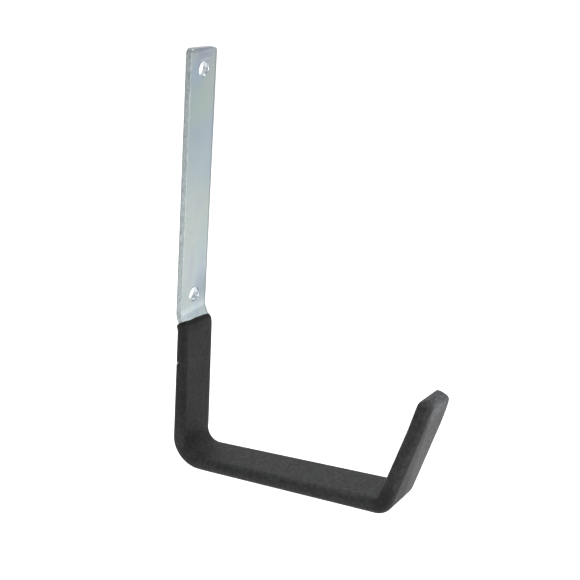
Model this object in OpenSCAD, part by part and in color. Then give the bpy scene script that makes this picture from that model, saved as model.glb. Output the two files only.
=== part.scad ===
// Wall hook: one bent flat steel bar with a soft dipped coat on its lower part.
// The wall is the plane Y = 0, the room is on the -Y side and +Z is up.
// The origin is on the wall, midway between the two screw holes.

/* [Flat bar] */
// Width of the bar, across the hook
bar_w = 20; // [16:0.5:26]
// Thickness of the bar
bar_t = 3; // [2.5:0.1:4]

/* [Wall strip] */
// Distance between the two screw holes
hole_pitch = 111.5; // [80:0.5:150]
// Diameter of the screw holes
hole_d = 7; // [4:0.1:9]
// Upper hole to the top end of the strip
top_margin = 11; // [8:0.5:16]
// Lower hole to the start of the forward set
lower_margin = 7; // [4.5:0.5:12]
// Radius of the two top corners
top_corner_r = 2.5; // [1:0.5:6]

/* [Forward set] */
// How far the shank stands in front of the strip
set_depth = 2.9; // [1.5:0.1:5]
// Radius of the two bends of the set, to the middle of the bar
set_r = 9.5; // [8:0.5:16]

/* [Cradle] */
// Straight length of the shank
shank_len = 58; // [40:1:90]
// Angle by which the shank leans into the room
shank_lean = 0.6; // [0:0.1:3]
// Inner radius of the bend at the foot of the shank
foot_r = 9; // [6:0.5:16]
// Angle by which the arm rises towards the tip
arm_rise = 9; // [0:0.5:15]
// Straight length of the arm
arm_len = 100.5; // [60:0.5:160]
// Inner radius of the bend below the tip
tip_bend_r = 4.5; // [4:0.5:12]
// Angle by which the tip leans out from upright
tip_lean = 15; // [5:0.5:35]
// Straight length of the tip, bare bar
tip_len = 54; // [30:1:80]
// Radius of the two corners at the end of the tip, bare bar
tip_corner_r = 5; // [1:0.5:6]

/* [Dipped coat] */
// Start of the forward set to the middle of the lip, along the bar
lip_start = 6.5; // [3:0.5:12]
// How much lower the lip is at the right edge than at the left one
lip_slant = 1.2; // [-3:0.1:3]
// Length over which the lip rounds off
lip_round = 2; // [0.5:0.1:3]
// Thickness of the coat at the lip
coat_lip_t = 1.6; // [1:0.1:2]
// Thickness of the coat round the foot
coat_foot_t = 1.9; // [1.2:0.1:3]
// Thickness of the coat round the bend below the tip, where it ran together
coat_bend_t = 2.5; // [1.2:0.1:3]
// Thickness of the coat at the end of the tip
coat_tip_t = 2.1; // [1.2:0.1:3]
// Radius of the long edges of the coat
coat_edge_r = 3; // [0.6:0.1:3]
// Depth of the rounding at the closed end
end_round = 3; // [0.8:0.1:3]

/* [Hidden] */
$fn = 96;

// Cuts run this far past the bar's faces
past = 1;
// Each step round a bend turns by this angle, in the bar and in the coat
bar_step_angle = 3;
coat_step_angle = 7;
// A rounding takes up at most this share of the coat's depth from one face
edge_share = 0.48;
// The coat has this share of its thickness where the lip starts
lip_share = 0.15;

// Turning angles of the bends
set_angle = acos(1 - set_depth / (2 * set_r));
foot_angle = 90 + arm_rise - shank_lean;
tip_angle = 90 - arm_rise - tip_lean;

// The bar's middle line in the Y-Z plane, from its top end.
// A place on it is [y, z, heading], and heading -90 points down.
top_place = [-bar_t / 2, hole_pitch / 2 + top_margin, -90];

// Each leg is [0, length] when straight and [radius, turn] when bent.
// A negative turn goes towards the room.
legs = [
    [0, top_margin + hole_pitch + lower_margin],
    [set_r, -set_angle],
    [set_r, set_angle - shank_lean],
    [0, shank_len],
    [foot_r + bar_t / 2, -foot_angle],
    [0, arm_len],
    [tip_bend_r + bar_t / 2, -tip_angle],
    [0, tip_len]
];
last_leg = len(legs) - 1;

function leg_length(leg) = leg[0] == 0 ? leg[1] : leg[0] * abs(leg[1]) * PI / 180;

// Centre of the bend that starts at a place
function bend_centre(place, leg) =
    let (side = sign(leg[1]))
    [place[0] - side * leg[0] * sin(place[2]), place[1] + side * leg[0] * cos(place[2])];

// The place that lies some way along a leg
function along(place, leg, way) =
    leg[0] == 0
    ? [place[0] + way * cos(place[2]), place[1] + way * sin(place[2]), place[2]]
    : let (side = sign(leg[1]), centre = bend_centre(place, leg),
           heading = place[2] + side * way / leg[0] * 180 / PI)
      [centre[0] + side * leg[0] * sin(heading), centre[1] - side * leg[0] * cos(heading), heading];

// The place where a leg starts, and the length of bar above it
function leg_place(i) = i == 0 ? top_place
    : along(leg_place(i - 1), legs[i - 1], leg_length(legs[i - 1]));
function run_above(i) = i == 0 ? 0 : run_above(i - 1) + leg_length(legs[i - 1]);
bar_len = run_above(last_leg) + leg_length(legs[last_leg]);

// The place at a length along the whole bar, and past its end
function walk(run, i = 0) =
    (i == last_leg || run <= run_above(i + 1))
    ? along(leg_place(i), legs[i], run - run_above(i))
    : walk(run, i + 1);

// A point beside a place, square to the middle line
function off_middle(place, out) =
    [place[0] - out * sin(place[2]), place[1] + out * cos(place[2])];

// The coat's thickness at a length along the bar
lip_run = run_above(1) + lip_start;
function coat_t(run) = lookup(run, [
    [lip_run, coat_lip_t],
    [run_above(4), coat_foot_t],
    [run_above(5), coat_foot_t],
    [run_above(6), coat_bend_t],
    [run_above(last_leg), coat_bend_t],
    [bar_len, coat_tip_t]
]);

// Points of a rounded rectangle, across the bar and through it
corner_steps = 5;
function rounded_ring(w, h, r) = [
    for (corner = [0:3], step = [0:corner_steps])
        let (angle = 90 * (corner + step / corner_steps),
             x_side = (corner == 0 || corner == 3) ? 1 : -1,
             y_side = corner < 2 ? 1 : -1)
        [x_side * (w / 2 - r) + r * cos(angle), y_side * (h / 2 - r) + r * sin(angle)]
];

// A ring set square to the bar at a place, or slanted as the lip is
function set_ring(place, ring, slant = 0) = [
    for (p = ring)
        let (shift = slant * p[0] / bar_w)
        [p[0], place[0] - p[1] * sin(place[2]) + shift * cos(place[2]),
         place[1] + p[1] * cos(place[2]) + shift * sin(place[2])]
];

// The coat's section, with its edges rounded as far as its depth allows
function coat_section(w, h, r) = rounded_ring(w, h, min(r, h * edge_share));

// Coat rings: the lip swells out of the bar, still slanted
lip_steps = 4;
lip_rings = [
    for (step = [0:lip_steps])
        let (turn = 90 * step / lip_steps, run = lip_run + lip_round * (1 - cos(turn)),
             t = coat_lip_t * (lip_share + (1 - lip_share) * sin(turn)))
        set_ring(walk(run), coat_section(bar_w + 2 * t, bar_t + 2 * t,
                                         coat_edge_r * t / coat_lip_t), lip_slant)
];

// Coat rings along the shank, the arm and the tip
body_start = lip_run + lip_round + abs(lip_slant);
body_rings = [
    for (i = [1:last_leg])
        let (steps = legs[i][0] == 0 ? 1 : ceil(abs(legs[i][1]) / coat_step_angle))
        for (step = [0:steps - 1])
            let (run = run_above(i) + leg_length(legs[i]) * step / steps, t = coat_t(run))
            if (run > body_start)
                set_ring(walk(run), coat_section(bar_w + 2 * t, bar_t + 2 * t, coat_edge_r))
];

// Coat rings that close the rounded end of the tip
end_steps = 9;
tip_w = bar_w + 2 * coat_tip_t;
tip_h = bar_t + 2 * coat_tip_t;
tip_r = tip_corner_r + coat_tip_t;
tip_round = min(end_round, tip_h * edge_share);
end_rings = [
    for (step = [0:end_steps])
        let (turn = 90 * step / end_steps,
             beyond = tip_r * (sin(turn) - 1) + coat_tip_t,
             into = max(0, tip_round - coat_tip_t + beyond),
             w = tip_w - 2 * tip_r * (1 - cos(turn)),
             h = tip_h - 2 * (tip_round - sqrt(pow(tip_round, 2) - pow(into, 2))))
        set_ring(walk(bar_len + beyond), coat_section(w, h, coat_edge_r))
];

// A closed skin over a row of rings
module skin(rings) {
    n = len(rings[0]);
    last = len(rings) - 1;
    points = [for (ring = rings, p = ring) p];
    sides = [
        for (i = [0:last - 1], k = [0:n - 1])
            let (a = i * n + k, b = i * n + (k + 1) % n)
            each [[a, b, b + n], [a, b + n, a + n]]
    ];
    first_cap = [for (k = [n - 1:-1:0]) k];
    last_cap = [for (k = [0:n - 1]) last * n + k];
    polyhedron(points, concat([first_cap], sides, [last_cap]));
}

// Side view of the bar in the Y-Z plane: down one face and back up the other
module bar_side() {
    runs = concat([
        for (i = [0:last_leg])
            let (steps = legs[i][0] == 0 ? 1 : ceil(abs(legs[i][1]) / bar_step_angle))
            for (step = [0:steps - 1]) run_above(i) + leg_length(legs[i]) * step / steps
    ], [bar_len]);
    last = len(runs) - 1;
    polygon(concat(
        [for (run = runs) off_middle(walk(run), bar_t / 2)],
        [for (k = [last:-1:0]) off_middle(walk(runs[k]), -bar_t / 2)]
    ));
}

// What rounds the two corners of a bar's end that points up at the origin
module end_corners(r) {
    for (side = [-1, 1])
        translate([side * (bar_w / 2 - r), 0, -r])
            difference() {
                translate([side * (r + past) / 2, 0, (r + past) / 2])
                    cube([r + past, bar_t + 2 * past, r + past], center = true);
                rotate([90, 0, 0]) cylinder(r = r, h = bar_t + 4 * past, center = true);
            }
}

module bar_solid() {
    end_place = walk(bar_len);
    difference() {
        rotate([90, 0, 90]) linear_extrude(bar_w, center = true) bar_side();
        translate([0, top_place[0], top_place[1]]) end_corners(top_corner_r);
        translate([0, end_place[0], end_place[1]]) rotate([tip_lean, 0, 0])
            end_corners(tip_corner_r);
        for (z = [-1, 1] * hole_pitch / 2)
            translate([0, -bar_t / 2, z]) rotate([90, 0, 0])
                cylinder(d = hole_d, h = bar_t + 2 * past, center = true);
    }
}

module hook_bar() {
    color([0.68, 0.73, 0.75]) bar_solid();
}

module grip_coat() {
    color([0.16, 0.16, 0.17]) difference() {
        skin(concat(lip_rings, body_rings, end_rings));
        bar_solid();
    }
}

hook_bar();
grip_coat();
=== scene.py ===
"""Looks of the wall hook: a zinc-plated bent bar and its dipped black coat."""

import math
import random

import bmesh
import bpy
from mathutils import Matrix, Vector, noise


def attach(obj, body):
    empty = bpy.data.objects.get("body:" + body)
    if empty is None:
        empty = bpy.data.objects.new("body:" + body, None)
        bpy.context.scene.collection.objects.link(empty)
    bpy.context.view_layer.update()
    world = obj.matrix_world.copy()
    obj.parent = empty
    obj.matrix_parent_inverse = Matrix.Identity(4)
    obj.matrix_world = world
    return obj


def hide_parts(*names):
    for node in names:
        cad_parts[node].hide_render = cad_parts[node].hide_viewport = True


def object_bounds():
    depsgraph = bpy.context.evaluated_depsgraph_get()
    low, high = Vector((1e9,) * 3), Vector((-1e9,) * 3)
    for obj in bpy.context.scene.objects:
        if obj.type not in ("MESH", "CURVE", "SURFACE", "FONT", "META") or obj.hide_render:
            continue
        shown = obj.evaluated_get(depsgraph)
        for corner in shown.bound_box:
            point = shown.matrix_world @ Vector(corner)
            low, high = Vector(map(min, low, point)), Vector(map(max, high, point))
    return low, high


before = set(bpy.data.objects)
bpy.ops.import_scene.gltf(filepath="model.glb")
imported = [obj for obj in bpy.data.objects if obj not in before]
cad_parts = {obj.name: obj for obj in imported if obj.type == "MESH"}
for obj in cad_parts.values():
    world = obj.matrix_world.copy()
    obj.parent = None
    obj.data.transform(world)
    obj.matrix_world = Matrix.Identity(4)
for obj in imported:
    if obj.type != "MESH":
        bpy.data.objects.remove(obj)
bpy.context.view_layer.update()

MM = 0.001

# The part's own sizes, in millimetres, as its source has them
BAR_W = 20.0
BAR_T = 3.0
HOLE_PITCH = 111.5
HOLE_R = 3.5
TOP_MARGIN = 11.0
LOWER_MARGIN = 7.0
TOP_CORNER_R = 2.5
SET_DEPTH = 2.9
SET_R = 9.5
SHANK_LEN = 58.0
SHANK_LEAN = 0.6
FOOT_R = 9.0
ARM_RISE = 9.0
ARM_LEN = 100.5
TIP_BEND_R = 4.5
TIP_LEAN = 15.0
TIP_LEN = 54.0
TIP_CORNER_R = 5.0
LIP_ROUND = 2.0
COAT_LIP_T = 1.6
COAT_FOOT_T = 1.9
COAT_BEND_T = 2.5
COAT_TIP_T = 2.1
# The lip's place and slant and the rounding of the closed end differ a little from the source's
LIP_START = 6.1
LIP_SLANT = 2.0
END_ROUND = 3.45

HOLE_HEIGHTS = (HOLE_PITCH / 2, -HOLE_PITCH / 2)
TOP_HEIGHT = HOLE_PITCH / 2 + TOP_MARGIN

# The bar's middle line: straight legs are (0, length), bends are (radius, turn)
SET_ANGLE = math.degrees(math.acos(1 - SET_DEPTH / (2 * SET_R)))
STRIP_LEN = TOP_MARGIN + HOLE_PITCH + LOWER_MARGIN
LEGS = [
    (0, STRIP_LEN),
    (SET_R, -SET_ANGLE),
    (SET_R, SET_ANGLE - SHANK_LEAN),
    (0, SHANK_LEN),
    (FOOT_R + BAR_T / 2, -(90 + ARM_RISE - SHANK_LEAN)),
    (0, ARM_LEN),
    (TIP_BEND_R + BAR_T / 2, -(90 - ARM_RISE - TIP_LEAN)),
    (0, TIP_LEN),
]


def leg_length(leg):
    radius, size = leg
    return size if radius == 0 else radius * abs(math.radians(size))


def along(place, leg, way):
    """The place (y, z, heading) that lies some way along a leg."""
    y, z, heading = place
    radius, size = leg
    if radius == 0:
        return y + way * math.cos(heading), z + way * math.sin(heading), heading
    side = math.copysign(1, size)
    centre_y = y - side * radius * math.sin(heading)
    centre_z = z + side * radius * math.cos(heading)
    heading += side * way / radius
    return (centre_y + side * radius * math.sin(heading),
            centre_z - side * radius * math.cos(heading), heading)


def leg_starts():
    """The length of bar above each leg, and the place where it starts."""
    starts = []
    run = 0.0
    place = (-BAR_T / 2, TOP_HEIGHT, -math.pi / 2)
    for leg in LEGS:
        starts.append((run, place))
        place = along(place, leg, leg_length(leg))
        run += leg_length(leg)
    return starts, run


STARTS, BAR_LEN = leg_starts()
# Lengths of bar above the forward set, the foot, the arm, the bend below the tip and the tip
SET_RUN, FOOT_RUN, ARM_RUN, BEND_RUN, TIP_RUN = (STARTS[index][0] for index in (1, 4, 5, 6, 7))
LIP_RUN = SET_RUN + LIP_START


def walk(run):
    """The place at a length along the whole bar, and past its end."""
    index = max(i for i, (start, _) in enumerate(STARTS) if i == 0 or run >= start)
    start, place = STARTS[index]
    return along(place, LEGS[index], run - start)


def set_point(run, x, out):
    """A point at a run along the bar, x across it and out from its middle line."""
    y, z, heading = walk(run)
    return Vector((x, y - out * math.sin(heading), z + out * math.cos(heading))) * MM


def smooth(value):
    """The value kept between 0 and 1, and eased at both."""
    value = min(1.0, max(0.0, value))
    return value * value * (3 - 2 * value)


# Each flat of a ring has a point this far from each of its corners
SUPPORT = 0.08


def rounded_ring(w, h, radius, corner_steps, across, through):
    """Points of a rounded rectangle, counter-clockwise from its right side.

    Each flat has a point close to each of its corners, so that it shades flat."""
    corners = [(w / 2 - radius, h / 2 - radius, 0), (-w / 2 + radius, h / 2 - radius, 90),
               (-w / 2 + radius, -h / 2 + radius, 180), (w / 2 - radius, -h / 2 + radius, 270)]
    points = []
    for index, (cx, cy, start) in enumerate(corners):
        for step in range(corner_steps + 1):
            angle = math.radians(start + 90 * step / corner_steps)
            points.append((cx + radius * math.cos(angle), cy + radius * math.sin(angle)))
        next_cx, next_cy, next_start = corners[(index + 1) % 4]
        angle = math.radians(next_start)
        goal = (next_cx + radius * math.cos(angle), next_cy + radius * math.sin(angle))
        parts = across if index % 2 == 0 else through
        last = points[-1]
        support = SUPPORT / math.dist(last, goal)
        inner = [support + (1 - 2 * support) * k / (parts - 2) for k in range(parts - 1)]
        for share in inner:
            points.append((last[0] + (goal[0] - last[0]) * share,
                           last[1] + (goal[1] - last[1]) * share))
    return points


def add_skin(mesh, rings, skip=None):
    """Quads between rows of points; skip(row, column) leaves some out."""
    rows = [[mesh.verts.new(p) for p in ring] for ring in rings]
    count = len(rows[0])
    for r in range(len(rows) - 1):
        for k in range(count):
            if skip and skip(r, k):
                continue
            n = (k + 1) % count
            mesh.faces.new((rows[r][k], rows[r + 1][k], rows[r + 1][n], rows[r][n]))
    return rows


def cap(mesh, row):
    """Closes a ring with a small fan, so that no face is large and bent."""
    centre = mesh.verts.new(sum((v.co for v in row), Vector()) / len(row))
    for k, vert in enumerate(row):
        mesh.faces.new((vert, row[(k + 1) % len(row)], centre))


def add_object(mesh, name):
    data = bpy.data.meshes.new(name)
    mesh.to_mesh(data)
    mesh.free()
    item = bpy.data.objects.new(name, data)
    bpy.context.collection.objects.link(item)
    return item


def finish_piece(mesh, name, material):
    bmesh.ops.recalc_face_normals(mesh, faces=mesh.faces)
    piece = add_object(mesh, name)
    for polygon in piece.data.polygons:
        polygon.use_smooth = True
    piece.data.materials.append(material)
    return piece


# Materials


class Nodes:
    """A short way to write a material's nodes."""

    def __init__(self, name):
        self.material = bpy.data.materials.new(name)
        self.material.use_nodes = True
        self.tree = self.material.node_tree
        self.tree.nodes.clear()
        self.output = self.add("ShaderNodeOutputMaterial")
        self.shader = self.add("ShaderNodeBsdfPrincipled")
        self.link(self.shader.outputs[0], self.output.inputs[0])
        self.coordinates = self.add("ShaderNodeTexCoord")
        self.place = self.coordinates.outputs["Object"]

    def add(self, kind, **values):
        node = self.tree.nodes.new(kind)
        for key, value in values.items():
            setattr(node, key, value)
        return node

    def link(self, a, b):
        self.tree.links.new(a, b)

    def noise(self, scale, detail=3.0, rough=0.5, stretch=(1, 1, 1), distortion=0.0,
              turn=(0, 0, 0)):
        """Noise in the object's own space; scale counts features per metre."""
        mapping = self.add("ShaderNodeMapping")
        mapping.inputs["Scale"].default_value = stretch
        mapping.inputs["Rotation"].default_value = turn
        self.link(self.place, mapping.inputs[0])
        node = self.add("ShaderNodeTexNoise")
        node.inputs["Scale"].default_value = scale
        node.inputs["Detail"].default_value = detail
        node.inputs["Roughness"].default_value = rough
        node.inputs["Distortion"].default_value = distortion
        self.link(mapping.outputs[0], node.inputs["Vector"])
        return node.outputs["Fac"]

    def axis(self, name, kind="Object"):
        """The place along one axis, in metres, or the normal's part along it."""
        node = self.add("ShaderNodeSeparateXYZ")
        self.link(self.coordinates.outputs[kind], node.inputs[0])
        return node.outputs[name]

    def below(self, z, slope):
        """How far a place lies below a slanted line across the bar, in metres; z is in mm."""
        node = self.add("ShaderNodeVectorMath", operation="DOT_PRODUCT")
        node.inputs[1].default_value = (-slope, 0, -1)
        self.link(self.place, node.inputs[0])
        total = self.add("ShaderNodeMath", operation="ADD")
        total.inputs[1].default_value = z * MM
        self.link(node.outputs["Value"], total.inputs[0])
        return total.outputs[0]

    def below_lip(self):
        return self.below(walk(LIP_RUN)[1], LIP_SLANT / BAR_W)

    def span(self, value, low, high):
        """0 to 1 between two values."""
        node = self.add("ShaderNodeMapRange")
        node.inputs["From Min"].default_value = low
        node.inputs["From Max"].default_value = high
        self.link(value, node.inputs["Value"])
        return node.outputs[0]

    def patch(self, centre, reach, core=0.0):
        """A soft round patch: 1 within its core and 0 from its reach on, in mm."""
        node = self.add("ShaderNodeVectorMath", operation="DISTANCE")
        node.inputs[1].default_value = [value * MM for value in centre]
        self.link(self.place, node.inputs[0])
        fade = self.add("ShaderNodeMapRange", interpolation_type="SMOOTHSTEP")
        for name, value in (("From Min", core * MM), ("From Max", reach * MM), ("To Min", 1.0),
                            ("To Max", 0.0)):
            fade.inputs[name].default_value = value
        self.link(node.outputs["Value"], fade.inputs["Value"])
        return fade.outputs[0]

    def ramp(self, factor, stops):
        """Colours or greys at places along a factor."""
        node = self.add("ShaderNodeValToRGB")
        elements = node.color_ramp.elements
        while len(elements) < len(stops):
            elements.new(0.5)
        for element, (position, colour) in zip(elements, stops):
            element.position = position
            rgb = colour if isinstance(colour, tuple) else (colour,) * 3
            element.color = (*rgb, 1)
        self.link(factor, node.inputs[0])
        return node.outputs[0]

    def mix(self, factor, a, b, blend="MIX"):
        node = self.add("ShaderNodeMix", data_type="RGBA", blend_type=blend)
        for socket, value in ((0, factor), (6, a), (7, b)):
            if hasattr(value, "is_linked"):
                self.link(value, node.inputs[socket])
            elif socket == 0:
                node.inputs[socket].default_value = value
            else:
                node.inputs[socket].default_value = (*value, 1)
        return node.outputs[2]

    def times(self, a, b):
        return self.mix(1.0, a, b, "MULTIPLY")

    def bump(self, height, strength, distance, below=None):
        node = self.add("ShaderNodeBump")
        node.inputs["Strength"].default_value = strength
        node.inputs["Distance"].default_value = distance
        self.link(height, node.inputs["Height"])
        if below is not None:
            self.link(below, node.inputs["Normal"])
        return node.outputs[0]

    def set(self, **values):
        for key, value in values.items():
            socket = self.shader.inputs[key.replace("_", " ")]
            if hasattr(value, "is_linked"):
                self.link(value, socket)
            else:
                socket.default_value = value


# The strip's tones change between these heights, in metres
TONE_LOW = -0.070
TONE_HIGH = 0.066

TINTS_AND_PAINTED_LIGHT = [
    # Height and side of a soft patch in mm, its reach, and the colour it leans to
    (66, 0, 15, (0.90, 0.86, 0.93)),
    (55, -8, 11, (0.88, 0.95, 1.06)),
    (40, -4, 17, (0.97, 1.04, 0.93)),
    (26, 7, 16, (0.94, 0.95, 1.08)),
    (14, 7, 22, (0.96, 1.00, 1.04)),
    (-22, -5, 24, (1.01, 1.02, 0.99)),
    (-48, 6, 14, (1.01, 0.98, 1.05)),
    (-60, 0, 6, (1.00, 1.03, 0.97)),
    (-67, 0, 12, (0.95, 0.98, 1.06)),
    # Painted shade: this patch darkens the strip's right side just above the set
    (-54, 9, 13, (0.72, 0.75, 0.77)),
    # Painted light: this patch brightens the set's left side
    (-68, -9, 9, (1.25, 1.28, 1.32)),
]


def zinc_material():
    """Bright zinc: cool grey with faint blue, green and violet clouds and fine drawn lines, with
    painted light and shade round the forward set and along the far edge.
    """
    n = Nodes("zinc_steel")
    clouds = n.noise(45, detail=2.5, stretch=(1, 1, 0.5), distortion=0.5)
    colour = n.ramp(clouds, [(0.32, (0.262, 0.305, 0.338)), (0.46, (0.283, 0.328, 0.338)),
                             (0.58, (0.300, 0.338, 0.330)), (0.70, (0.290, 0.312, 0.340))])
    height = n.axis("Z")
    rise = n.span(height, TONE_LOW, TONE_HIGH)
    # Painted light: the bright low end of these tones lifts the forward set's bends, whose
    # reflections render dark
    tones = [(0.0, 1.66), (0.03, 1.58), (0.05, 1.30), (0.07, 1.06), (0.10, 1.00), (0.2, 1.05),
             (0.4, 1.02), (0.7, 0.97), (1.0, 1.04)]
    colour = n.times(colour, n.ramp(rise, tones))
    for z, x, reach, tint in TINTS_AND_PAINTED_LIGHT:
        colour = n.mix(n.patch((x, 0, z), reach), colour, n.times(colour, tint))
    drawn = n.noise(900, detail=2, stretch=(1, 1, 0.03))
    colour = n.times(colour, n.ramp(drawn, [(0.35, 0.95), (0.65, 1.0)]))
    wear = n.noise(300, detail=5, rough=0.7)
    colour = n.times(colour, n.ramp(wear, [(0.30, 0.90), (0.42, 1.0)]))
    # A darker line along the far edge is a painted dark reflection of its rounded rim; a darker
    # line runs along the top end too
    far = n.span(n.axis("X"), 0.0084, 0.0096)
    colour = n.times(colour, n.ramp(far, [(0.0, 1.0), (0.8, 0.66)]))
    end = n.span(height, 0.0640, 0.0652)
    colour = n.times(colour, n.ramp(end, [(0.0, 1.0), (0.8, 0.78)]))
    # A light line along the coat's lip
    beside_lip = n.span(n.below_lip(), -0.0011, -0.0003)
    colour = n.times(colour, n.ramp(beside_lip, [(0.0, 1.0), (0.9, 1.55)]))
    # Fine scratches over the upper hole
    lines = n.noise(330, detail=3, rough=0.6, stretch=(0.12, 1, 3.2), turn=(0, -0.9, 0))
    thin = n.ramp(lines, [(0.56, 0.0), (0.60, 1.0), (0.64, 0.0)])
    where = n.times(thin, n.patch((2, 0, 61), 8, 3))
    colour = n.mix(where, colour, (0.42, 0.45, 0.48))
    # The punched walls of the holes are bright
    for z in HOLE_HEIGHTS:
        wall = n.patch((0, -BAR_T / 2, z), HOLE_R + 0.5, HOLE_R + 0.1)
        smudge = n.ramp(n.noise(420, detail=3),
                        [(0.40, (0.33, 0.37, 0.40)), (0.58, (0.56, 0.60, 0.64))])
        colour = n.mix(wall, colour, smudge)
    grain = n.noise(2600, detail=2)
    rough = n.ramp(n.noise(60, detail=4, stretch=(1, 1, 0.5)), [(0.3, 0.23), (0.7, 0.29)])
    fine = n.bump(grain, 0.12, 0.00005)
    streaks = n.bump(drawn, 0.15, 0.00005, fine)
    marks = n.bump(where, 0.08, 0.00002, streaks)
    n.set(Base_Color=colour, Roughness=rough, Normal=marks, Metallic=0.9)
    return n.material


def sheared_material():
    """The bar's cut edge: the same zinc over a torn, pitted surface."""
    n = Nodes("zinc_sheared")
    pits = n.noise(760, detail=4, rough=0.65, stretch=(1, 1, 0.75))
    fine = n.noise(1500, detail=3, rough=0.6)
    tint = n.ramp(pits, [(0.28, (0.27, 0.31, 0.32)), (0.42, (0.41, 0.46, 0.47)),
                         (0.56, (0.46, 0.51, 0.52)), (0.72, (0.55, 0.60, 0.61))])
    grit = n.ramp(fine, [(0.30, 0.80), (0.45, 1.0)])
    colour = n.times(tint, grit)
    # The side next to the wall is darker
    wall_side = n.span(n.axis("Y"), -0.0009, -0.0001)
    colour = n.times(colour, n.ramp(wall_side, [(0.0, 1.0), (1.0, 0.76)]))
    rise = n.span(n.axis("Z"), TONE_LOW, TONE_HIGH)
    tones = [(0.0, 0.95), (0.25, 0.85), (0.4, 0.87), (0.7, 0.82), (1.0, 0.72)]
    colour = n.times(colour, n.ramp(rise, tones))
    rough = n.ramp(pits, [(0.3, 0.62), (0.6, 0.48)])
    torn = n.bump(pits, 0.6, 0.00016)
    gritty = n.bump(fine, 0.5, 0.00008, torn)
    n.set(Base_Color=colour, Roughness=rough, Normal=gritty, Metallic=0.8)
    return n.material


def coat_material():
    """Black dip coat: matt, with a fine pebbled skin."""
    n = Nodes("black_coat")
    cloud = n.noise(55, detail=3)
    tint = n.ramp(cloud, [(0.3, (0.0235, 0.0242, 0.0245)), (0.7, (0.029, 0.0293, 0.0300))])
    # Painted shade: the shank, inside the hook, is darker than the arm
    near_wall = n.span(n.axis("Y"), -0.030, -0.012)
    shank = n.times(near_wall, n.span(n.axis("Z"), -0.132, -0.112))
    tint = n.mix(shank, tint, (0.0145, 0.0147, 0.0147))
    # Painted shade under the bend below the tip, and painted light on the closed end
    bend_y, bend_z = walk(BEND_RUN + 6)[:2]
    tint = n.mix(n.patch((-BAR_W / 2, bend_y - 5, bend_z), 13, 6), tint, (0.009, 0.009, 0.0092))
    end_y, end_z = walk(BAR_LEN)[:2]
    tint = n.mix(n.patch((0, end_y, end_z + 2), 13, 3), tint, (0.050, 0.051, 0.053))
    # Painted shade: the tip's outer face is darker on its lower left
    tip_painted_shade = n.span(n.below(-116, 5.5), -0.009, 0.009)
    outer = n.times(n.span(n.axis("Y", "Normal"), -0.35, -0.85),
                    n.span(n.axis("Y"), -0.116, -0.122))
    tint = n.mix(n.times(tip_painted_shade, outer), tint, (0.007, 0.007, 0.0072))
    # Mottled
    mottle = n.noise(480, detail=3, rough=0.7)
    tint = n.times(tint, n.ramp(mottle, [(0.36, 0.62), (0.50, 1.0), (0.64, 1.36)]))
    # Thin and dark along the lip
    lip = n.span(n.below_lip(), 0.0009, 0.0003)
    tint = n.mix(n.times(lip, near_wall), tint, (0.005, 0.005, 0.005))
    # A pale spot in the nick, and specks of dust
    nick_y, nick_z = walk(NICK_RUN)[:2]
    nick = n.patch((-BAR_W / 2 - 1.2, nick_y + 2.4, nick_z), 1.1, 0.5)
    tint = n.mix(nick, tint, (0.75, 0.75, 0.74))
    dust = n.ramp(n.noise(2100, detail=1, rough=0.4), [(0.735, 0.0), (0.76, 0.55)])
    tint = n.mix(dust, tint, (0.13, 0.13, 0.13))
    pebble = n.noise(800, detail=3.5, rough=0.65)
    speck = n.noise(3200, detail=1.5)
    first = n.bump(pebble, 0.9, 0.00045)
    normal = n.bump(speck, 0.35, 0.00005, first)
    rough = n.ramp(cloud, [(0.3, 0.55), (0.7, 0.63)])
    n.set(Base_Color=tint, Roughness=rough, Normal=normal, Specular_IOR_Level=0.15)
    return n.material


# Bar

EDGE_R = 0.12
# The rounding of the bar's edges takes up at most this share of its thickness
EDGE_SHARE = 0.45
BAR_CORNER_STEPS = 3
BAR_ACROSS = 6
BAR_THROUGH = 5
# The top end is cut a little out of square, and the rows below it even that out
TOP_SLANT = 2.4
TOP_REACH = 5.0
HOLE_POINTS = 72
# Rows along the bar: steps round an end corner, and the distance between rows
END_TURNS = 12
STRIP_STEP = 0.5
BEND_STEP = 0.5
STRAIGHT_STEP = 5.0
# The strip's sides are torn from its top corners to a little way past the lip
TORN_PAST_LIP = 10
TORN_BAND = 0.1
# How deep, from noise and at random, and the noise's waves per mm through and along the bar
TORN_NOISE = 0.05
TORN_RANDOM = 0.02
TORN_THROUGH = 1.4
TORN_ALONG = 1.1
# Faces turned sideways, and this close to the bar's sides, are its cut edge
SIDE_NORMAL = 0.3
SIDE_DEPTH = 0.3
# Points nearer than this are one point
WELD = 0.0005
TINY = 1e-6


def end_half_width(run):
    """Half the bar's width, less where the corners at its two ends are rounded."""
    into_top = TOP_CORNER_R - run
    into_tip = TIP_CORNER_R - (BAR_LEN - run)
    for into, radius in ((into_top, TOP_CORNER_R), (into_tip, TIP_CORNER_R)):
        if into > 0:
            return BAR_W / 2 - radius + math.sqrt(max(0.0, radius ** 2 - into ** 2))
    return BAR_W / 2


def end_thickness(run):
    """The bar's thickness, less where the edge of its top end is rounded."""
    into = max(0.0, EDGE_R - run)
    return BAR_T - 2 * (EDGE_R - math.sqrt(EDGE_R ** 2 - into ** 2))


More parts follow.
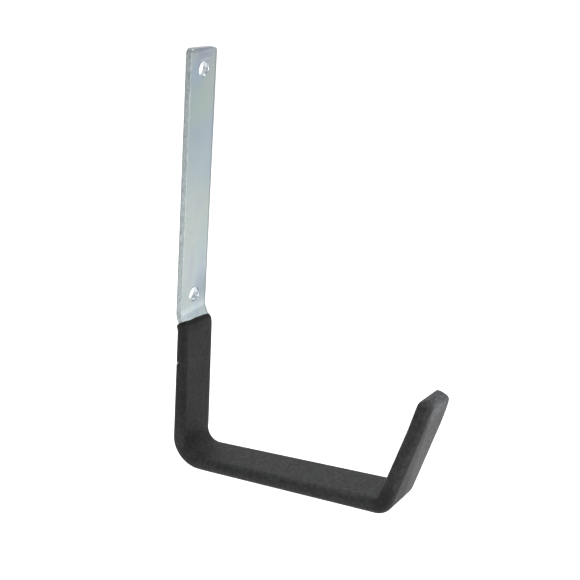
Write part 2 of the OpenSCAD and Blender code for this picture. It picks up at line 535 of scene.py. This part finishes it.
def bar_runs():
    """Rows along the bar: close at the two ends and in the bends, regular in the strip."""
    end_turns = [math.radians(90 * k / END_TURNS) for k in range(END_TURNS + 1)]
    runs = [TOP_CORNER_R * (1 - math.cos(turn)) for turn in end_turns]
    rows = int((STRIP_LEN - TOP_CORNER_R) / STRIP_STEP)
    runs += [TOP_CORNER_R + (STRIP_LEN - TOP_CORNER_R) * k / rows for k in range(1, rows + 1)]
    for (start, _), leg in zip(STARTS[1:], LEGS[1:]):
        length = leg_length(leg)
        end = start + length if leg is not LEGS[-1] else BAR_LEN - TIP_CORNER_R
        step = BEND_STEP if leg[0] else STRAIGHT_STEP
        parts = max(1, math.ceil((end - start) / step))
        runs += [start + (end - start) * k / parts for k in range(1, parts + 1)]
    runs += [BAR_LEN - TIP_CORNER_R * (1 - math.sin(turn)) for turn in end_turns[1:]]
    return runs


def make_bar(face_material, edge_material):
    mesh = bmesh.new()
    rings = []
    runs = bar_runs()
    rng = random.Random(4)
    for run in runs:
        half = end_half_width(run)
        h = end_thickness(run)
        ring = rounded_ring(2 * half, h, min(EDGE_R, EDGE_SHARE * h), BAR_CORNER_STEPS,
                            BAR_ACROSS, BAR_THROUGH)
        points = []
        for x, out in ring:
            ragged = 0.0
            if abs(abs(x) - half) < TORN_BAND and TOP_CORNER_R < run < LIP_RUN + TORN_PAST_LIP:
                torn = noise.noise(Vector((x, out * TORN_THROUGH, run * TORN_ALONG)))
                ragged = TORN_NOISE * abs(torn) + TORN_RANDOM * rng.random()
            fall = TOP_SLANT * (x / BAR_W + 0.5) * (1 - smooth(run / TOP_REACH))
            points.append(set_point(run + fall, x - math.copysign(ragged, x), out))
        rings.append(points)
    span = BAR_CORNER_STEPS + 1
    # Columns of the back and front flats in a ring, within their support lines
    back = set(range(span, span + BAR_ACROSS - 2))
    front_first = 2 * span + BAR_ACROSS - 1 + BAR_THROUGH - 1 + span
    front = set(range(front_first, front_first + BAR_ACROSS - 2))
    first = sum(1 for run in runs if run < TOP_CORNER_R + TINY) - 1
    last = sum(1 for run in runs if run < STRIP_LEN + TINY) - 1

    def skip(row, column):
        return first <= row < last and (column in back or column in front)

    rows = add_skin(mesh, rings, skip)
    cap(mesh, rows[0])
    cap(mesh, rows[-1])
    for flat, out in ((sorted(back), BAR_T / 2), (sorted(front), -BAR_T / 2)):
        fill_flat(mesh, rows[first:last + 1], flat, out)
    for height, burr in zip(HOLE_HEIGHTS, HOLE_BURRS):
        add_hole(mesh, TOP_HEIGHT - height, burr)
    bmesh.ops.remove_doubles(mesh, verts=mesh.verts, dist=WELD * MM)
    piece = finish_piece(mesh, "plated_bar", face_material)
    piece.data.materials.append(edge_material)
    for polygon in piece.data.polygons:
        middle = polygon.center
        if (abs(polygon.normal.x) > SIDE_NORMAL
                and abs(middle.x) > (BAR_W / 2 - SIDE_DEPTH) * MM):
            polygon.material_index = 1
    return piece


def hole_ring(run, radius, out):
    return [set_point(run + radius * math.sin(a), radius * math.cos(a), out)
            for a in (2 * math.pi * k / HOLE_POINTS for k in range(HOLE_POINTS))]


# How high the rim stands round the upper and the lower hole
HOLE_BURRS = (0.015, 0.08)
# A hole's own mesh reaches this far round it, in front and at the back
FRONT_DISH = 1.0
BACK_DISH = 0.45


def fill_flat(mesh, rows, flat, out):
    """One flat of the strip, filled between its border and the two holes' rims."""
    edges = []

    def join(a, b):
        edge = mesh.edges.get((a, b)) or mesh.edges.new((a, b))
        edges.append(edge)

    left, right = flat[0], (flat[-1] + 1) % len(rows[0])
    for upper, lower in zip(rows, rows[1:]):
        join(upper[left], lower[left])
        join(upper[right], lower[right])
    for row in (rows[0], rows[-1]):
        for k in flat:
            join(row[k], row[(k + 1) % len(row)])
    dish = BACK_DISH if out > 0 else FRONT_DISH
    for height in HOLE_HEIGHTS:
        ring = hole_ring(TOP_HEIGHT - height, HOLE_R + dish, out)
        verts = [mesh.verts.new(p) for p in ring]
        for k, vert in enumerate(verts):
            join(vert, verts[(k + 1) % len(verts)])
    bmesh.ops.triangle_fill(mesh, use_beauty=True, edges=edges)


def add_hole(mesh, run, burr):
    """A punched hole: a faint raised rim in front, a rounded mouth, and a plain back."""
    front, back = -BAR_T / 2, BAR_T / 2
    # Each row: how far outside the hole's wall, and its place through the bar
    profile = [(FRONT_DISH, front), (0.9, front), (0.75, front - burr / 3), (0.5, front - burr),
               (0.32, front - burr), (0.16, front), (0.05, front + 0.12), (0.0, front + 0.35),
               (0.0, 0.0), (0.0, back - 0.3), (0.1, back - 0.08), (0.35, back),
               (BACK_DISH, back)]
    add_skin(mesh, [hole_ring(run, HOLE_R + beyond, out) for beyond, out in profile])


# Coat

COAT_CORNER_STEPS = 6
COAT_ACROSS = 18
COAT_THROUGH = 5
LIP_STEPS = 8
SKIN_STEP = 1.0
SLANT_REACH = 8.0
END_STEPS = 14
# The skin keeps this far inside the part's own
INSET = 0.03
# Radius of the skin's long edges at the lip and the end, on the arm, and after the tip's bend
SKIN_EDGE_R = 2.3
ARM_EDGE_R = 3.2
BEND_EDGE_R = 3.0
# A rounding takes up at most this share of the coat's depth
COAT_EDGE_SHARE = 0.49
# Thickness where the lip starts
LIP_FIRST_T = 0.02
# How far the lip wanders, its waves per mm across and through, and their place in the noise
LIP_WAVE = 0.25
WAVES_ACROSS = 0.22
WAVES_THROUGH = 0.3
WAVES_PLACE = 0.7
# Length over which the coat's far side reaches its full thickness
FAR_LIP_REACH = 6.0
# Round the foot the coat is thinner inside and outside by half of these, between two runs
FOOT_INNER_THIN = 1.7
FOOT_INNER_ENDS = (FOOT_RUN - 2, ARM_RUN + 2)
FOOT_OUTER_THIN = 0.9
FOOT_OUTER_ENDS = (FOOT_RUN - 3, ARM_RUN + 7)
# A small nick in the coat's edge next to the wall: where, how deep, how long and how far across
NICK_RUN = 156.3
NICK_DEPTH = 0.8
NICK_REACH = 0.9
NICK_ACROSS = 0.5
# The coat's two end corners: the one at -X is tighter than the one at +X
NEAR_CORNER_R = 4.6
FAR_CORNER_R = 8.0
# Near its end the tip turns a little upright, and is longer at -X than at +X
END_REACH = 16.0
END_GROWTH = 1.2
END_SKEW = 1.3
END_SETBACK = 0.55

# The coat's thickness along the bar
COAT_STATIONS = [
    (LIP_RUN, COAT_LIP_T),
    (FOOT_RUN, COAT_FOOT_T),
    (ARM_RUN, COAT_FOOT_T),
    (BEND_RUN, COAT_BEND_T),
    (TIP_RUN, COAT_BEND_T),
    (BAR_LEN, COAT_TIP_T),
]

# The radius of the skin's long edges along the bar
EDGE_STATIONS = [
    (LIP_RUN, SKIN_EDGE_R),
    (FOOT_RUN, SKIN_EDGE_R),
    (ARM_RUN + 4, ARM_EDGE_R),
    (BEND_RUN - 12, ARM_EDGE_R),
    (TIP_RUN, BEND_EDGE_R),
    (BAR_LEN, SKIN_EDGE_R),
]


def at_stations(stations, run):
    """A value that changes evenly between its stations."""
    for (a, value_a), (b, value_b) in zip(stations, stations[1:]):
        if run <= b:
            return value_a + (value_b - value_a) * max(0.0, run - a) / (b - a)
    return stations[-1][1]


def hump(run, first, last):
    """0 at two places along the bar and 1 midway."""
    share = (run - first) / (last - first)
    return math.sin(math.pi * share) ** 2 if 0 < share < 1 else 0.0


def coat_ring(run, w, h, radius, slanted=0.0):
    """One ring of the skin; slanted is the share of the lip's slant that it takes up."""
    w, h = w - 2 * INSET, h - 2 * INSET
    ring = rounded_ring(w, h, min(radius, COAT_EDGE_SHARE * h), COAT_CORNER_STEPS,
                        COAT_ACROSS, COAT_THROUGH)
    points = []
    near_end = smooth((run - BAR_LEN + END_REACH) / END_REACH)
    inner = 1 - FOOT_INNER_THIN / h * hump(run, *FOOT_INNER_ENDS)
    outer = 1 - FOOT_OUTER_THIN / h * hump(run, *FOOT_OUTER_ENDS)
    nick = NICK_DEPTH * math.exp(-((run - NICK_RUN) / NICK_REACH) ** 2)
    for x, out in ring:
        if x < -w / 2 + NICK_ACROSS and out > 0:
            x += nick
        out *= outer if out > 0 else inner
        spot = Vector((x * WAVES_ACROSS, out * WAVES_THROUGH, WAVES_PLACE))
        wave = LIP_WAVE * noise.noise(spot)
        moved = slanted * (LIP_SLANT * x / BAR_W + wave)
        moved += near_end * END_GROWTH * (1 - END_SKEW * x / BAR_W)
        points.append(set_point(run + moved, x, out - near_end * END_SETBACK))
    return points


def end_half(beyond, radius):
    """Half the coat's width past the bar's end, with a corner of some radius."""
    into = max(0.0, radius - (COAT_TIP_T - beyond))
    return BAR_W / 2 + COAT_TIP_T - radius + math.sqrt(max(0.0, radius ** 2 - into ** 2))


def thin_far_side(ring, run, t):
    """On its far side the coat grows to its full thickness over a longer way from the lip."""
    left = max(0.0, 1 - (run - LIP_RUN) / FAR_LIP_REACH)
    share = (BAR_W / 2 + t * math.sqrt(1 - min(1.0, left) ** 2) + INSET) / (BAR_W / 2 + t)
    for point in ring:
        if point.x > 0:
            point.x *= min(1.0, share)
    return ring


def make_coat(material):
    mesh = bmesh.new()
    rings = []
    for step in range(LIP_STEPS + 1):
        turn = math.radians(90 * step / LIP_STEPS)
        t = COAT_LIP_T * math.sin(turn) + LIP_FIRST_T + INSET
        run = LIP_RUN + LIP_ROUND * (1 - math.cos(turn))
        ring = coat_ring(run, BAR_W + 2 * t, BAR_T + 2 * t,
                         max(EDGE_R, SKIN_EDGE_R * t / COAT_LIP_T), 1.0)
        rings.append(thin_far_side(ring, run, t))
    run = LIP_RUN + LIP_ROUND + SKIN_STEP
    body_end = BAR_LEN + COAT_TIP_T - FAR_CORNER_R
    parts = int((body_end - run) / SKIN_STEP)
    for k in range(parts):
        here = run + (body_end - run) * k / parts
        t = at_stations(COAT_STATIONS, here)
        radius = at_stations(EDGE_STATIONS, here)
        slanted = 1 - smooth((here - LIP_RUN - LIP_ROUND) / SLANT_REACH)
        ring = coat_ring(here, BAR_W + 2 * t, BAR_T + 2 * t, radius, slanted)
        rings.append(thin_far_side(ring, here, t))
    for step in range(END_STEPS + 1):
        turn = math.radians(90 * step / END_STEPS)
        beyond = FAR_CORNER_R * (math.sin(turn) - 1) + COAT_TIP_T
        into = max(0.0, END_ROUND - (COAT_TIP_T - beyond))
        h = BAR_T + 2 * COAT_TIP_T - 2 * (END_ROUND - math.sqrt(END_ROUND ** 2 - into ** 2))
        near_half = end_half(beyond, NEAR_CORNER_R)
        far_half = end_half(beyond, FAR_CORNER_R)
        w = BAR_W + 2 * COAT_TIP_T
        ring = coat_ring(BAR_LEN + beyond, w, h, SKIN_EDGE_R)
        for point in ring:
            point.x *= (near_half if point.x < 0 else far_half) / (w / 2)
        rings.append(ring)
    rows = add_skin(mesh, rings)
    cap(mesh, rows[0])
    cap(mesh, rows[-1])
    return finish_piece(mesh, "dipped_coat", material)


# Studio

CAMERA_AZIMUTH = -59.512
CAMERA_ELEVATION = 24.164
CAMERA_ROLL = 4.249
CAMERA_DISTANCE = 636.65
CAMERA_AIM = Vector((-5.93, -60.0, -34.58))
FOCAL_PIXELS = 1400.0
PICTURE_PIXELS = 580.0
SENSOR_MM = 36.0
CLIP_NEAR = 0.01
CLIP_FAR = 50


def view_axes(azimuth, elevation, roll):
    """Right, up and back of a camera, from angles in degrees."""
    a, e, r = (math.radians(angle) for angle in (azimuth, elevation, roll))
    back = Vector((math.sin(a) * math.cos(e), -math.cos(a) * math.cos(e), math.sin(e)))
    right = Vector((math.cos(a), math.sin(a), 0))
    up = back.cross(right)
    return (math.cos(r) * right + math.sin(r) * up, -math.sin(r) * right + math.cos(r) * up, back)


def make_camera():
    right, up, back = view_axes(CAMERA_AZIMUTH, CAMERA_ELEVATION, CAMERA_ROLL)
    place = (CAMERA_AIM + CAMERA_DISTANCE * back) * MM
    data = bpy.data.cameras.new("camera")
    data.sensor_width = SENSOR_MM
    data.lens = FOCAL_PIXELS * SENSOR_MM / PICTURE_PIXELS
    data.clip_start = CLIP_NEAR
    data.clip_end = CLIP_FAR
    camera = bpy.data.objects.new("camera", data)
    bpy.context.collection.objects.link(camera)
    matrix = Matrix((right, up, back)).transposed().to_4x4()
    matrix.translation = place
    camera.matrix_world = matrix
    bpy.context.scene.camera = camera


def add_area(name, place, aim, size, power):
    data = bpy.data.lights.new(name, "AREA")
    data.shape = "DISK"
    data.size = size
    data.energy = power
    lamp = bpy.data.objects.new(name, data)
    bpy.context.collection.objects.link(lamp)
    lamp.location = place
    lamp.rotation_euler = (Vector(aim) - Vector(place)).to_track_quat("-Z", "Y").to_euler()


def background_rays(tree):
    """1 for the rays that show the white background: camera, glossy and transmission rays."""
    path = tree.nodes.new("ShaderNodeLightPath")
    seen = path.outputs["Is Camera Ray"]
    for ray in ("Is Glossy Ray", "Is Transmission Ray"):
        either = tree.nodes.new("ShaderNodeMath")
        either.operation = "MAXIMUM"
        tree.links.new(seen, either.inputs[0])
        tree.links.new(path.outputs[ray], either.inputs[1])
        seen = either.outputs[0]
    return seen


# Strength of the light from all round, and of the white background that is seen
WORLD_LIGHT = 0.58
WORLD_WHITE = 1.0


def add_background(tree, strength):
    node = tree.nodes.new("ShaderNodeBackground")
    node.inputs[0].default_value = (1, 1, 1, 1)
    node.inputs[1].default_value = strength
    return node


def make_world():
    world = bpy.data.worlds.new("studio")
    bpy.context.scene.world = world
    world.use_nodes = True
    tree = world.node_tree
    tree.nodes.clear()
    output = tree.nodes.new("ShaderNodeOutputWorld")
    light = add_background(tree, WORLD_LIGHT)
    white = add_background(tree, WORLD_WHITE)
    choose = tree.nodes.new("ShaderNodeMixShader")
    tree.links.new(background_rays(tree), choose.inputs[0])
    tree.links.new(light.outputs[0], choose.inputs[1])
    tree.links.new(white.outputs[0], choose.inputs[2])
    tree.links.new(choose.outputs[0], output.inputs[0])


FLOOR_DROP = 0.12
FLOOR_SIZE = 8.0
FLOOR_GLOW = 0.37
FLOOR_COLOUR = (0.93, 0.93, 0.93, 1)
FLOOR_ROUGHNESS = 0.9


def make_floor():
    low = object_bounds()[0][2]
    mesh = bmesh.new()
    bmesh.ops.create_grid(mesh, x_segments=1, y_segments=1, size=FLOOR_SIZE / 2)
    floor = add_object(mesh, "floor")
    floor.location = (0, 0, low - FLOOR_DROP)
    n = Nodes("floor")
    n.set(Base_Color=FLOOR_COLOUR, Roughness=FLOOR_ROUGHNESS)
    glow = n.add("ShaderNodeEmission")
    glow.inputs["Strength"].default_value = FLOOR_GLOW
    seen = background_rays(n.tree)
    both = n.add("ShaderNodeAddShader")
    choose = n.add("ShaderNodeMixShader")
    n.link(n.shader.outputs[0], both.inputs[0])
    n.link(glow.outputs[0], both.inputs[1])
    n.link(seen, choose.inputs[0])
    n.link(n.shader.outputs[0], choose.inputs[1])
    n.link(both.outputs[0], choose.inputs[2])
    n.link(choose.outputs[0], n.output.inputs[0])
    floor.data.materials.append(n.material)


# Each lamp's name, place, aim and size in metres, and power in watts
LAMPS = [
    ("front", (0.0, -1.0, -0.08), (0, -0.06, -0.08), 0.12, 10),
    ("top", (0.3, 0.2, 1.2), (0, -0.05, -0.04), 0.8, 14),
]

make_camera()
make_world()
zinc = zinc_material()
sheared = sheared_material()
black = coat_material()

bar = make_bar(zinc, sheared)
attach(bar, "root")
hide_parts("hook_bar")

coat = make_coat(black)
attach(coat, "root")
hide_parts("grip_coat")

make_floor()
for lamp in LAMPS:
    add_area(*lamp)

bpy.context.scene.view_settings.view_transform = "Standard"
